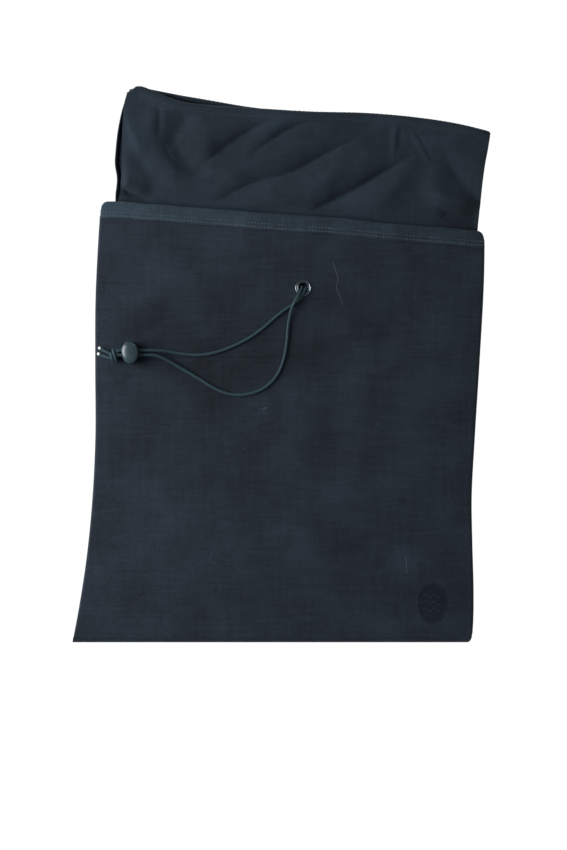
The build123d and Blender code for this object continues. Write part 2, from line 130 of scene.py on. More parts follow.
UPPER_ROUTE = [(24.2, 75.6, 12.2), (23.0, 72.6, 16.6), (19.0, 66.0, 16.9), (13.6, 60.6, LAY_Z + 0.4),
               (5.0, 55.6, LAY_Z), (-6.0, 46.8, LAY_Z), (-19.5, 34.6, LAY_Z), (-36.0, 23.4, LAY_Z),
               (-54.0, 15.2, LAY_Z), (-71.0, 9.9, LAY_Z), (-87.0, 8.6, LAY_Z), (-101.5, 10.4, LAY_Z + 0.4),
               (-114.0, 12.6, LAY_Z + 3.2), (-126.0, UPPER_Y, STRAND_Z), (STRAIGHT_X, UPPER_Y, STRAND_Z),
               (END_X, UPPER_Y, STRAND_Z)]


# ---- curves and fields
def smooth(points):
    """Smooth curve through given points (t, value), as a function of t."""
    t = np.array([p[0] for p in points], float)
    v = np.array([p[1] for p in points], float)
    slope = np.gradient(v, t)

    def value(q):
        q = np.clip(q, t[0], t[-1])
        i = np.clip(np.searchsorted(t, q) - 1, 0, len(t) - 2)
        h = t[i + 1] - t[i]
        s = (q - t[i]) / h
        start = (2 * s ** 3 - 3 * s ** 2 + 1) * v[i] + (s ** 3 - 2 * s ** 2 + s) * h * slope[i]
        return start + (3 * s ** 2 - 2 * s ** 3) * v[i + 1] + (s ** 3 - s ** 2) * h * slope[i + 1]
    return value


def step(x):
    x = np.clip(x, 0, 1)
    return x * x * (3 - 2 * x)


def noise(x, y, size, seed):
    """Smooth noise between -1 and 1, with lumps of one size."""
    table = np.random.default_rng(seed).uniform(-1, 1, (64, 64))
    gx, gy = x / size + 17.3, y / size + 11.9
    ix, iy = np.floor(gx).astype(int), np.floor(gy).astype(int)
    sx, sy = step(gx - ix), step(gy - iy)
    near = table[ix % 64, iy % 64] * (1 - sx) + table[(ix + 1) % 64, iy % 64] * sx
    far = table[ix % 64, (iy + 1) % 64] * (1 - sx) + table[(ix + 1) % 64, (iy + 1) % 64] * sx
    return near * (1 - sy) + far * sy


def along(points, count=48):
    """Evenly spread points on a smooth line through given points."""
    p = np.array(points, float)
    t = np.concatenate([[0], np.cumsum(np.linalg.norm(np.diff(p, axis=0), axis=1))])
    q = np.linspace(0, t[-1], count)
    return np.stack([smooth(list(zip(t, p[:, k])))(q) for k in range(p.shape[1])], axis=-1)


def crease(x, y, points, depth, left, right, shoulder):
    """Valley along a line, with its own width on each side, low shoulders, and ends that fade out."""
    line = along(points)
    best = np.full(x.shape, 1e9)
    side = np.zeros(x.shape)
    share = np.zeros(x.shape)
    for i, (a, b) in enumerate(zip(line, line[1:])):
        d = b - a
        t = np.clip(((x - a[0]) * d[0] + (y - a[1]) * d[1]) / (d @ d), 0, 1)
        px, py = x - a[0] - t * d[0], y - a[1] - t * d[1]
        dist = np.hypot(px, py)
        nearer = dist < best
        best = np.where(nearer, dist, best)
        side = np.where(nearer, np.sign(d[0] * py - d[1] * px), side)
        share = np.where(nearer, (i + t) / (len(line) - 1), share)
    ends = step(share / 0.38) * step((1 - share) / 0.38)
    wide = np.where(side > 0, left, right) * (0.4 + 0.6 * ends)
    valley = 0.66 * np.exp(-(best / wide) ** 2) + 0.34 * np.exp(-(best / (0.42 * wide)) ** 2)
    lip = np.exp(-((best - 1.9 * wide) / wide) ** 2)
    return depth * ends * (shoulder * lip - valley)


tunnel_left, tunnel_right = smooth(TUNNEL_LEFT), smooth(TUNNEL_RIGHT)
hem_line = smooth(HEM_LINE)
deck_left_low, deck_left_high, deck_right = smooth(DECK_LEFT_LOW), smooth(DECK_LEFT_HIGH), smooth(DECK_RIGHT)
rim_low, rim_high = smooth(RIM_LOW), smooth(RIM_HIGH)


# ---- mesh builders
def add(name, data):
    """New object in the scene."""
    thing = bpy.data.objects.new(name, data)
    bpy.context.scene.collection.objects.link(thing)
    return thing


def mesh_piece(name, points, faces, uv=None):
    """Blender object from points in millimetres. uv holds one pair for each point, in metres of cloth."""
    mesh = bpy.data.meshes.new(name)
    mesh.from_pydata((np.asarray(points) * MM).tolist(), [], [tuple(int(i) for i in f) for f in faces])
    if uv is not None:
        layer = mesh.uv_layers.new(name="UVMap")
        loops = np.zeros(len(mesh.loops), int)
        mesh.loops.foreach_get("vertex_index", loops)
        layer.data.foreach_set("uv", np.asarray(uv, float)[loops].astype(np.float32).ravel())
    mesh.polygons.foreach_set("use_smooth", [True] * len(mesh.polygons))
    mesh.update()
    return add(name, mesh)


def grid_faces(rows, columns, offset=0, flip=False, closed=False):
    """Quads of a grid whose points run along each row."""
    r, c = np.meshgrid(np.arange(rows - 1), np.arange(columns - (0 if closed else 1)), indexing="ij")
    after = (c + 1) % columns
    quad = np.stack([r * columns + c, r * columns + after, (r + 1) * columns + after, (r + 1) * columns + c], -1)
    quad = quad.reshape(-1, 4) + offset
    return quad[:, ::-1] if flip else quad


def caps(count, around):
    """The two end faces of a closed skin of count points, around of them in each ring."""
    return [tuple(range(around)), tuple(range(count - 1, count - around - 1, -1))]


def normals_of(surface):
    du = np.gradient(surface, axis=1)
    dv = np.gradient(surface, axis=0)
    n = np.cross(du, dv)
    return n / np.maximum(np.linalg.norm(n, axis=2, keepdims=True), 1e-9)


def cloth_piece(name, surface, thick=CLOTH, hole=None):
    """Sheet of cloth: both faces of a middle surface (rows, columns, 3), with closed edges marked sharp."""
    rows, columns = surface.shape[:2]
    n = normals_of(surface)
    count = rows * columns
    points = np.concatenate([(surface + n * thick / 2).reshape(-1, 3), (surface - n * thick / 2).reshape(-1, 3)])
    length = np.linalg.norm(np.diff(surface, axis=1), axis=2)
    u = np.concatenate([np.zeros((rows, 1)), np.cumsum(length, axis=1)], axis=1)
    u += surface[:, :1, 0] - u[:, :1]
    tall = np.linalg.norm(np.diff(surface, axis=0), axis=2)
    v = np.concatenate([np.zeros((1, columns)), np.cumsum(tall, axis=0)], axis=0)
    uv = np.tile(np.stack([u, v], -1).reshape(-1, 2) * MM, (2, 1))
    top = grid_faces(rows, columns)
    if hole is not None:
        middle = surface.reshape(-1, 3)[top].mean(axis=1)
        top = top[np.hypot(middle[:, 0] - hole[0], middle[:, 1] - hole[1]) > hole[2]]
    bottom = top[:, ::-1] + count
    edge = [np.arange(columns), np.arange(columns) + (rows - 1) * columns,
            np.arange(rows) * columns, np.arange(rows) * columns + columns - 1]
    walls = []
    for line, flip in zip(edge, (True, False, False, True)):
        quad = np.stack([line[:-1], line[1:], line[1:] + count, line[:-1] + count], -1)
        walls.append(quad if flip else quad[:, ::-1])
    piece = mesh_piece(name, points, np.concatenate([top, bottom] + walls), uv)
    border = np.zeros(2 * count, bool)
    for line in edge:
        border[line] = border[line + count] = True
    ends = np.zeros(2 * len(piece.data.edges), int)
    piece.data.edges.foreach_get("vertices", ends)
    sharp = piece.data.attributes.new("sharp_edge", "BOOLEAN", "EDGE")
    sharp.data.foreach_set("value", border[ends.reshape(-1, 2)].all(axis=1))
    return piece


def region(left, right, bottom, top, columns, rows):
    """Plan grid between edges x(y), a bottom y and a top y(x), in a few rounds. columns is a count or shares."""
    u = np.asarray(columns, float)[None, :] if np.ndim(columns) else np.linspace(0, 1, columns)[None, :]
    v = np.linspace(0, 1, rows)[:, None]
    y = np.full((rows, u.shape[1]), float(bottom)) + v * 100
    for _ in range(6):
        x = left(y) * (1 - u) + right(y) * u
        y = bottom + v * (top(x) - bottom)
    return x, y


def frames_along(path):
    """Steady side and up directions along a path."""
    tangent = np.gradient(path, axis=0)
    tangent /= np.linalg.norm(tangent, axis=1, keepdims=True)
    up = np.array([0.0, 0.0, 1.0])
    if abs(tangent[0] @ up) > 0.9:
        up = np.array([0.0, 1.0, 0.0])
    ups = []
    for t in tangent:
        up = up - (up @ t) * t
        up = up / np.linalg.norm(up)
        ups.append(up)
    ups = np.array(ups)
    return np.cross(tangent, ups), ups


def resample(path, pitch):
    path = np.asarray(path, float)
    s = np.concatenate([[0], np.cumsum(np.linalg.norm(np.diff(path, axis=0), axis=1))])
    q = np.linspace(0, s[-1], max(3, int(round(s[-1] / pitch)) + 1))
    return np.stack([np.interp(q, s, path[:, k]) for k in range(3)], -1), q


def tube_piece(name, path, radius, around, uv_scale=(1, 1)):
    """Round piece along a path. radius(s, angle) gives the skin's distance from the path."""
    side, up = frames_along(path)
    step_length = np.linalg.norm(np.diff(path, axis=0), axis=1)
    s = np.concatenate([[0], np.cumsum(step_length)])[:, None]
    angle = np.linspace(0, TURN, around, endpoint=False)[None, :]
    r = radius(s, angle) * np.ones((len(path), around))
    outward = np.cos(angle)[..., None] * side[:, None] + np.sin(angle)[..., None] * up[:, None]
    points = path[:, None] + r[..., None] * outward
    faces = [tuple(f) for f in grid_faces(len(path), around, closed=True, flip=True)]
    u = np.broadcast_to(angle / TURN * uv_scale[0], r.shape)
    uv = np.stack([u, s * uv_scale[1] * np.ones_like(r)], -1)
    points, uv = points.reshape(-1, 3), uv.reshape(-1, 2)
    return mesh_piece(name, points, faces + caps(len(points), around), uv)


def spline_line(route):
    """Points in millimetres along the smooth NURBS line of a route."""
    data = bpy.data.curves.new("route", "CURVE")
    data.dimensions = "3D"
    line = data.splines.new("NURBS")
    line.points.add(len(route) - 1)
    for point, place in zip(line.points, route):
        point.co = (place[0] * MM, place[1] * MM, place[2] * MM, 1)
    line.order_u = 3
    line.use_endpoint_u = True
    data.resolution_u = 24
    helper = add("route", data)
    mesh = bpy.data.meshes.new_from_object(helper)
    points = np.array([v.co for v in mesh.vertices]) / MM
    bpy.data.objects.remove(helper)
    bpy.data.meshes.remove(mesh)
    return points


# ---- materials
class Shader:
    """Small helper that adds and joins nodes of one material."""

    def __init__(self, name, base, roughness, metallic=0.0):
        self.material = bpy.data.materials.new(name)
        self.material.use_nodes = True
        self.tree = self.material.node_tree
        self.shader = self.tree.nodes["Principled BSDF"]
        self.set(self.shader, "Base Color", (*base, 1))
        self.set(self.shader, "Roughness", roughness)
        self.set(self.shader, "Metallic", metallic)

    def new(self, kind):
        return self.tree.nodes.new("ShaderNode" + kind)

    def set(self, node, socket, value):
        node.inputs[socket].default_value = value

    def link(self, source, node, socket):
        self.tree.links.new(source, node.inputs[socket])

    def plain(self, socket, value):
        """One value for the shader's own socket, the same all over."""
        self.set(self.shader, socket, value)

    def feed(self, socket, source):
        """Varies the shader's own socket over the surface."""
        self.link(source, self.shader, socket)

    def body(self):
        """The object's own coordinates, in millimetres."""
        return self.coordinates("Object", (1000, 1000, 1000))

    def math(self, operation, a, b=None):
        node = self.new("Math")
        node.operation = operation
        for i, value in enumerate((a, b)):
            if value is None:
                continue
            if isinstance(value, (int, float)):
                node.inputs[i].default_value = value
            else:
                self.link(value, node, i)
        return node.outputs[0]

    def coordinates(self, kind, scale=(1, 1, 1)):
        source = self.new("TexCoord")
        mapping = self.new("Mapping")
        self.set(mapping, "Scale", scale)
        self.link(source.outputs[kind], mapping, "Vector")
        return mapping.outputs["Vector"]

    def noise(self, vector, scale, detail=3.0, roughness=0.55):
        node = self.new("TexNoise")
        self.link(vector, node, "Vector")
        self.set(node, "Scale", scale)
        self.set(node, "Detail", detail)
        self.set(node, "Roughness", roughness)
        return node.outputs["Fac"]

    def ramp(self, value, low_in, high_in, low_out, high_out):
        node = self.new("MapRange")
        self.link(value, node, "Value")
        for socket, number in zip(("From Min", "From Max", "To Min", "To Max"), (low_in, high_in, low_out, high_out)):
            self.set(node, socket, number)
        return node.outputs["Result"]

    def mix(self, factor, a, b):
        node = self.new("Mix")
        node.data_type = "RGBA"
        self.link(factor, node, 0)
        for socket, value in ((6, a), (7, b)):
            if isinstance(value, tuple):
                node.inputs[socket].default_value = (*value, 1)
            else:
                self.link(value, node, socket)
        return node.outputs[2]

    def bump(self, height, distance, strength=1.0, under=None):
        node = self.new("Bump")
        self.link(height, node, "Height")
        self.set(node, "Distance", distance)
        self.set(node, "Strength", strength)
        if under is not None:
            self.link(under, node, "Normal")
        return node.outputs["Normal"]

    def split(self, vector):
        node = self.new("SeparateXYZ")
        self.link(vector, node, 0)
        return node.outputs


def tint(colour, factor):
    return tuple(c * factor for c in colour)


def woven(name, colour, period=1.1, kind="UV", lift=1.5, sheen=0.12, relief=0.16, painted_shade_and_spots=()):
    """Plain weave coated nylon: threads over and under, slubs, soft mottling and dusty high spots. The threads are
    painted lighter on top and darker between them, a painted shade, and the listed patches paint shade and light onto
    the cloth.
    """
    m = Shader(name, colour, 0.82)
    place = m.coordinates(kind, (1000, 1000, 1000))
    x, y, z = m.split(place)[0:3]
    if kind == "Object":
        y = m.math("ADD", y, z)
    warp = m.math("SINE", m.math("MULTIPLY", x, TURN / period))
    weft = m.math("SINE", m.math("MULTIPLY", y, TURN / period))
    weave = m.math("MULTIPLY", warp, weft)
    body = m.body()
    mottle = m.noise(body, 0.020, 5, 0.6)
    fine = m.noise(body, 0.45, 4, 0.75)
    slub = m.noise(m.coordinates("Object", (55, 900, 900)), 0.42, 3, 0.7)
    stripe = m.noise(m.coordinates("Object", (900, 70, 900)), 0.30, 2)
    dust = m.ramp(m.noise(m.coordinates("Object", (1030, 940, 900)), 0.011, 3, 0.65), 0.56, 0.80, 0, 0.5)
    speck = m.ramp(m.noise(body, 0.9, 1, 0.4), 0.76, 0.84, 0, 0.35)
    # The weave term paints the threads lighter where the bump raises them and darker in the hollows between them:
    # painted shade.
    shade = m.math("ADD", m.ramp(mottle, 0.3, 0.7, -0.55, 0.55), m.ramp(weave, -1, 1, -0.25, 0.25))
    shade = m.math("ADD", shade, m.ramp(fine, 0.3, 0.7, -0.5, 0.5))
    shade = m.math("ADD", shade, m.ramp(slub, 0.3, 0.7, -0.30, 0.30))
    shade = m.math("ADD", shade, m.ramp(stripe, 0.3, 0.7, -0.15, 0.15))
    shade = m.math("ADD", shade, m.math("ADD", dust, speck))
    # Each listed patch fades out from its centre. It darkens the colour where its strength is below zero and lightens
    # it where above: painted shade and painted light, and on the front panel also small lighter spots where lint
    # lies.
    for sx, sy, reach, strength in painted_shade_and_spots:
        away = m.new("VectorMath")
        away.operation = "DISTANCE"
        m.link(m.coordinates("Object", (1000, 1000, 0)), away, 0)
        away.inputs[1].default_value = (sx, sy, 0)
        painted_patch = m.ramp(away.outputs["Value"], 0, reach, strength, 0)
        shade = m.math("ADD", shade, m.math("MULTIPLY", painted_patch, m.ramp(fine, 0.35, 0.65, 0.3, 1.4)))
    factor = m.ramp(shade, -1, 1, 0, 1)
    m.feed("Base Color", m.mix(factor, tint(colour, 1 / lift), tint(colour, lift)))
    m.feed("Roughness", m.ramp(fine, 0.3, 0.7, 0.76, 0.92))
    threads = m.bump(weave, relief * MM, 0.6)
    m.feed("Normal", m.bump(fine, 0.25 * MM, 0.5, threads))
    m.plain("Sheen Weight", sheen)
    m.plain("Specular IOR Level", 0.22)
    m.plain("Sheen Roughness", 0.45)
    m.plain("Sheen Tint", (0.75, 0.85, 1.0, 1))
    return m.material


def braid(name, colour):
    """Braided elastic sheath: crossing yarns from the tube's own coordinates."""
    m = Shader(name, colour, 0.6)
    place = m.coordinates("UV")
    u, v = m.split(place)[0:2]
    around = m.math("MULTIPLY", u, TURN * BRAID_YARNS)
    down = m.math("MULTIPLY", v, TURN)
    one = m.math("SINE", m.math("ADD", around, down))
    other = m.math("SINE", m.math("SUBTRACT", around, down))
    cross = m.math("MULTIPLY", one, other)
    fine = m.noise(m.body(), 2.2, 2)
    # The crossing pattern paints the yarns' ridges lighter and the grooves between them darker, where the bump puts
    # them: painted shade.
    factor = m.math("ADD", m.ramp(cross, -1, 1, 0.1, 0.7), m.ramp(fine, 0.3, 0.7, 0, 0.3))
    m.feed("Base Color", m.mix(factor, tint(colour, 0.55), tint(colour, 1.5)))
    m.feed("Normal", m.bump(cross, 0.12 * MM, 0.5))
    m.plain("Sheen Weight", 0.12)
    m.plain("Sheen Tint", (0.6, 0.9, 1.0, 1))
    m.plain("Specular IOR Level", 0.35)
    return m.material


def plastic(name, colour, roughness=0.16):
    """Glossy moulded plastic with faint rub marks."""
    m = Shader(name, colour, roughness)
    body = m.body()
    rub = m.noise(body, 0.35, 5, 0.7)
    fine = m.noise(body, 3.0, 2)
    m.feed("Roughness", m.ramp(rub, 0.35, 0.7, roughness * 0.8, roughness * 1.9))
    m.feed("Base Color", m.mix(rub, tint(colour, 0.85), tint(colour, 1.3)))
    m.feed("Normal", m.bump(fine, 0.02 * MM, 0.3))
    m.plain("Coat Weight", 0.3)
    m.plain("Coat Roughness", 0.08)
    return m.material


def metal(name, colour, roughness=0.28):
    """Plated metal with a fine grain and handling marks."""
    m = Shader(name, colour, roughness, 1.0)
    body = m.body()
    wear = m.noise(body, 0.6, 4, 0.7)
    fine = m.noise(body, 5.0, 2)
    m.feed("Base Color", m.mix(wear, tint(colour, 0.7), tint(colour, 1.35)))
    m.feed("Roughness", m.ramp(wear, 0.3, 0.7, roughness * 0.75, roughness * 1.5))
    m.feed("Normal", m.bump(fine, 0.02 * MM, 0.4))
    return m.material


def thread(name, colour):
    """Twisted sewing thread."""
    m = Shader(name, colour, 0.5)
    body = m.body()
    fine = m.noise(body, 3.0, 2)
    m.feed("Base Color", m.mix(fine, tint(colour, 0.6), tint(colour, 1.5)))
    m.feed("Normal", m.bump(fine, 0.05 * MM, 0.6))
    m.plain("Sheen Weight", 0.2)
    return m.material


PANEL_COLOUR = (0.0146, 0.0216, 0.0314)
DECK_COLOUR = (0.0164, 0.0266, 0.0382)
HEM_COLOUR = (0.0209, 0.0338, 0.0466)
STRAP_COLOUR = (0.02, 0.023, 0.027)
# Soft patches of painted shade and painted light on the cloth, as (x, y, reach, strength) in millimetres. On the
# front panel: painted shade in shallow dents, most of them round the lock and the cords, painted light in a few
# places, the largest at the lower left, and small lighter spots where lint lies.
cloth_look = woven("panel_cloth", PANEL_COLOUR, lift=1.8,
                   painted_shade_and_spots=[(-17, -46, 13, 0.9), (-19, -47, 4, 1.2), (124, -196, 20, 0.7), (-92, 14, 85, -1.0),
                            (-20, 20, 80, -0.5), (70, -40, 90, -0.6), (120, -186, 9, 0.6), (-140, -190, 120, 0.4),
                            (40, 60, 80, -0.4), (-60, -190, 40, 0.3), (60, 90, 26, 0.25)])
# Deck: painted shade in its dents and in the deep pockets just behind the hem, and two lighter patches.
deck_look = woven("deck_cloth", DECK_COLOUR,
                  painted_shade_and_spots=[(-104, 222, 40, -0.9), (-70, 196, 46, -0.6), (186, 144, 34, -1.5), (-152, 168, 24, -1.1),
                           (56, 226, 40, -0.5), (150, 226, 24, 0.3), (-146, 226, 22, 0.5)])
# Hem: painted light over its left end, on the lamp's side, and painted shade right of its middle.
hem_look = woven("hem_cloth", HEM_COLOUR, lift=1.8,
                 painted_shade_and_spots=[(-185, 160, 110, 0.9), (-190, 162, 35, 0.7), (88, 148, 60, -0.45)])
tape_look = woven("seam_tape", (0.018, 0.022, 0.028), period=0.8, kind="Object")
cord_look = braid("drawcord", (0.016, 0.043, 0.055))
thread_look = thread("sewing_thread", (0.040, 0.060, 0.074))
rim_thread_look = thread("rim_thread", (0.022, 0.032, 0.042))
eyelet_look = metal("gunmetal", (0.22, 0.26, 0.29), 0.2)
spring_look = metal("spring_wire", (0.6, 0.6, 0.62), 0.2)
lock_look = plastic("lock_plastic", (0.016, 0.032, 0.038), 0.24)
core_look = woven("rubber_core", (0.80, 0.80, 0.78), period=0.5, kind="Object", lift=1.1, sheen=0.0, relief=0.05)
emblem_look = woven("emblem_print", (0.0085, 0.0125, 0.0215), sheen=0.05, kind="Object")
emblem_line_look = woven("emblem_line", (0.019, 0.028, 0.040), sheen=0.05, kind="Object")
strap_look = woven("webbing_strap", STRAP_COLOUR, period=1.9, kind="Object", relief=0.35)
patch_look = woven("patch_cloth", DECK_COLOUR, kind="Object")
button_look = plastic("button_plastic", (0.022, 0.046, 0.055), 0.24)
lint_look = thread("lint", (0.16, 0.18, 0.20))


def finish_piece(piece, look, body=None, replaced=()):
    piece.data.materials.clear()
    piece.data.materials.append(look)
    if body:
        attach(piece, body)
    if replaced:
        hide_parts(*replaced)
    return piece


# ---- waist tunnel
SIDE_R = (FRONT_Z - BACK_Z) / 2  # radius of the tunnel's side folds, at the middle of the cloth
SIDE_IN = SIDE_R + CLOTH / 2  # how far the flat panels stay inside the outline
EYELET_HOLE = 5.6  # radius of the hole in the front panel


# Creases: (points of the line, depth, width on its left, width on its right, height of its shoulders).
PANEL_CREASES = [
    ([(-120, 60), (-60, 44), (-20, 62)], 1.1, 16, 18, 0.3),
    ([(-128, 4), (-90, -6), (-60, 2), (-36, 12)], 1.1, 9, 12, 0.2),
    ([(-180, 0), (-176, 20), (-168, 44)], 0.9, 8, 8, 0.2),
    ([(50, -140), (53, -60), (47, 20)], 1.5, 26, 18, 0.5),
    ([(88, -6), (106, 30), (126, 66)], 1.4, 16, 12, 0.6),
    ([(-176, -30), (-150, -16), (-124, -22)], 1.5, 10, 12, 0.3),
    ([(-172, 40), (-148, 32), (-116, 42)], 1.4, 12, 8, 0.3),
    ([(-116, -240), (-118, -272)], 0.3, 3, 3, 0.6),
    ([(60, 128), (110, 96), (150, 40)], 0.9, 20, 20, 0.4),
    ([(-60, 130), (-90, 96), (-130, 84)], 0.9, 14, 20, 0.4),
]


def panel_wave(x, y):
    """Height of the front panel above its flat plane: gentle dents, held down where the cords lie."""
    wave = 1.1 * noise(x, y, 78, 3) + 0.62 * noise(x, y, 36, 8) + 0.2 * noise(x, y, 15, 5)
    for line, *shape in PANEL_CREASES:
        wave += crease(x, y, line, *shape)
    free = step((x - 45) / 40) + step((-55 - y) / 40)
    ceiling = 0.15 + 1.25 * np.clip(free, 0, 1)
    wave = np.where(wave > 0, ceiling * np.tanh(wave / ceiling), 1.9 * np.tanh(wave / 1.9))
    edge = np.minimum.reduce([x - tunnel_left(y), tunnel_right(y) - x, y - FOLD_Y,
                              hem_line(x) - HEM_TALL + 6 - y])
    return wave * step((edge - 3) / 16)


def panel_top(x):
    return hem_line(x) - HEM_TALL + 3


x, y = region(lambda y: tunnel_left(y) + SIDE_IN, lambda y: tunnel_right(y) - SIDE_IN, FOLD_Y, panel_top, 196, 212)
front = cloth_piece("front_panel", np.stack([x, y, FRONT_Z + panel_wave(x, y)], -1), hole=(*EYELET, EYELET_HOLE))
finish_piece(front, cloth_look, "tunnel", ["tunnel_front_panel"])
back_wave = 0.25 * noise(x, y, 60, 21) * step((y - FOLD_Y) / 30)
back = cloth_piece("back_panel", np.stack([x, y, BACK_Z + back_wave * 0.6], -1))
finish_piece(back, cloth_look, "tunnel", ["tunnel_back_panel"])


def side_fold(name, edge, sign, node):
    """Rounded side of the flattened tunnel, from the front panel to the back panel."""
    v = np.linspace(FOLD_Y, float(panel_top(edge(140.0))), 190)[:, None]
    turn = np.linspace(0, math.pi, 15)[None, :]
    if sign > 0:
        turn = turn[:, ::-1]
    x = edge(v) - sign * (SIDE_IN - SIDE_R * np.sin(turn))
    z = (FRONT_Z + BACK_Z) / 2 + SIDE_R * np.cos(turn)
    surface = np.stack([x * np.ones_like(z), v * np.ones_like(z), z * np.ones_like(v)], -1)
    return finish_piece(cloth_piece(name, surface[:, ::-1]), cloth_look, "tunnel", [node])


fold_left = side_fold("side_fold_left", tunnel_left, -1, "tunnel_side_left")
fold_right = side_fold("side_fold_right", tunnel_right, 1, "tunnel_side_right")


# ---- hems and their stitching
HEM_SQUARE = 0.34  # how square the hem's section is: 1 would be round


def hem_piece(name, node, seed):
    """Thick folded hem with rounded edges, puckered a little along its stitching."""
    bottom, thick = low(node).z, HEM_THICK
    count, around = 330, 40
    left, right = HEM_LINE[0][0], HEM_LINE[-1][0]
    t = np.linspace(0, 1, count)[:, None]
    x = left + (right - left) * t
    angle = np.linspace(0, TURN, around, endpoint=False)[None, :]
    end = np.minimum(x - left, right - x)
    close = np.sqrt(np.clip(1 - (1 - np.clip(end / 7.0, 0, 1)) ** 2, 0.0, 1))
    across = np.sign(np.cos(angle)) * np.abs(np.cos(angle)) ** HEM_SQUARE
    up = np.sign(np.sin(angle)) * np.abs(np.sin(angle)) ** HEM_SQUARE
    tall = HEM_TALL * (0.35 + 0.65 * close)
    depth = thick * (0.45 + 0.55 * close)
    middle = hem_line(x) - HEM_TALL / 2 - (HEM_TALL - tall) * 0.38
    y = middle + across * tall / 2
    pucker = 0.42 * noise(x + 0 * y, y * 0.3, 6.0, seed) + 0.45 * noise(x + 0 * y, y * 0.2, 17.0, seed + 1)
    above = across * HEM_TALL / 2 + HEM_TALL / 2
    seam = np.exp(-((above - 4.0) / 3.0) ** 2)
    groove = sum(0.35 * np.exp(-((above - row) / 0.8) ** 2) for row in SEAM_ROWS)
    z = bottom + thick / 2 + up * (depth / 2 + 0 * y)
    z = z + np.sign(up) * (pucker * (0.4 + seam) - groove) * 0.6 * close
    y = y + 0.35 * noise(x + 0 * y, y * 0, 22.0, seed + 2)
    points = np.stack([x + 0 * y, y, z], -1).reshape(-1, 3)
    faces = [tuple(f) for f in grid_faces(count, around, closed=True, flip=True)] + caps(len(points), around)
    uv = np.stack([x + 0 * y, y], -1).reshape(-1, 2) * MM
    return finish_piece(mesh_piece(name, points, faces, uv), hem_look, "tunnel", [node])


hem_front = hem_piece("hem_front", "waist_hem_front", 31)
hem_back = hem_piece("hem_back", "waist_hem_back", 47)


STITCH_PITCH = 3.4


def stitches(name, line, long, radius, body, look=thread_look):
    """A row of separate stitches, each a small flat bead of thread along the line."""
    path = resample(line, STITCH_PITCH)[0]
    side, up = frames_along(path)
    tangent = np.cross(up, side)
    turn = np.linspace(0, TURN, 6, endpoint=False)
    points, faces = [], []
    for i, place in enumerate(path):
        start = len(points)
        for reach, wide in ((-1.0, 0.25), (-0.7, 0.85), (0.0, 1.0), (0.7, 0.85), (1.0, 0.25)):
            sink = -0.55 * radius * reach ** 2
            for a in turn:
                points.append(place + tangent[i] * reach * long / 2 + side[i] * math.cos(a) * wide * radius
                              + up[i] * (math.sin(a) * wide * radius * 0.8 + sink))
        faces.extend([tuple(f) for f in grid_faces(5, 6, offset=start, closed=True)])
        faces.append(tuple(start + k for k in range(5, -1, -1)))
        faces.append(tuple(start + 24 + k for k in range(6)))
    piece = mesh_piece(name, points, faces)
    return finish_piece(piece, look, body)


def hem_row(name, row, sink):
    """Row of stitches along the hem, this far above its lower edge and sunk this far into its face."""
    x = np.linspace(HEM_LINE[0][0] + 3.0, HEM_LINE[-1][0] - 3.0, 400)
    height = low("waist_hem_front").z + HEM_THICK - sink
    line = np.stack([x, hem_line(x) - (HEM_TALL - row), np.full_like(x, height)], -1)
    return stitches(name, line, 2.7, 0.42, "tunnel")


hem_rows = [hem_row("hem_stitch_low", SEAM_ROWS[0], 0.10), hem_row("hem_stitch_high", SEAM_ROWS[1], 0.12)]


# ---- folds along the bottom edge
def bottom_fold(name, centre_z, radius, left, right, node):
    """Cloth that turns from the deck to the tunnel, shaped round a line along X."""
    columns = 200
    turn = np.linspace(-math.pi / 2, math.pi / 2, 25)[:, None]
    y = FOLD_Y - radius * np.cos(turn)
    low_left, low_right = float(deck_left_low(FOLD_Y)), float(deck_right(FOLD_Y))
    under = np.clip(-np.sin(turn), 0, 1)
    x0 = left(y) + (low_left - left(y)) * under
    x1 = right(y) + (low_right - right(y)) * under
    x = x0 + (x1 - x0) * np.linspace(0, 1, columns)[None, :]
    z = centre_z + radius * np.sin(turn) + 0 * x
    piece = cloth_piece(name, np.stack([x, y + 0 * x, z], -1))
    finish_piece(piece, cloth_look, None, [node])
    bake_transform(piece)
    return piece


OUTER_FOLD_Z = (FRONT_Z + LOWER_Z) / 2
INNER_FOLD_Z = (BACK_Z + UPPER_Z) / 2
outer_fold = bottom_fold("bottom_fold_outer", OUTER_FOLD_Z, (FRONT_Z - LOWER_Z) / 2, tunnel_left, tunnel_right,
                         "base_fold_outer")
inner_fold = bottom_fold("bottom_fold_inner", INNER_FOLD_Z, (BACK_Z - UPPER_Z) / 2, lambda y: -206.5 + 0 * y,
                         lambda y: 184.0 + 0 * y, "base_fold_inner")


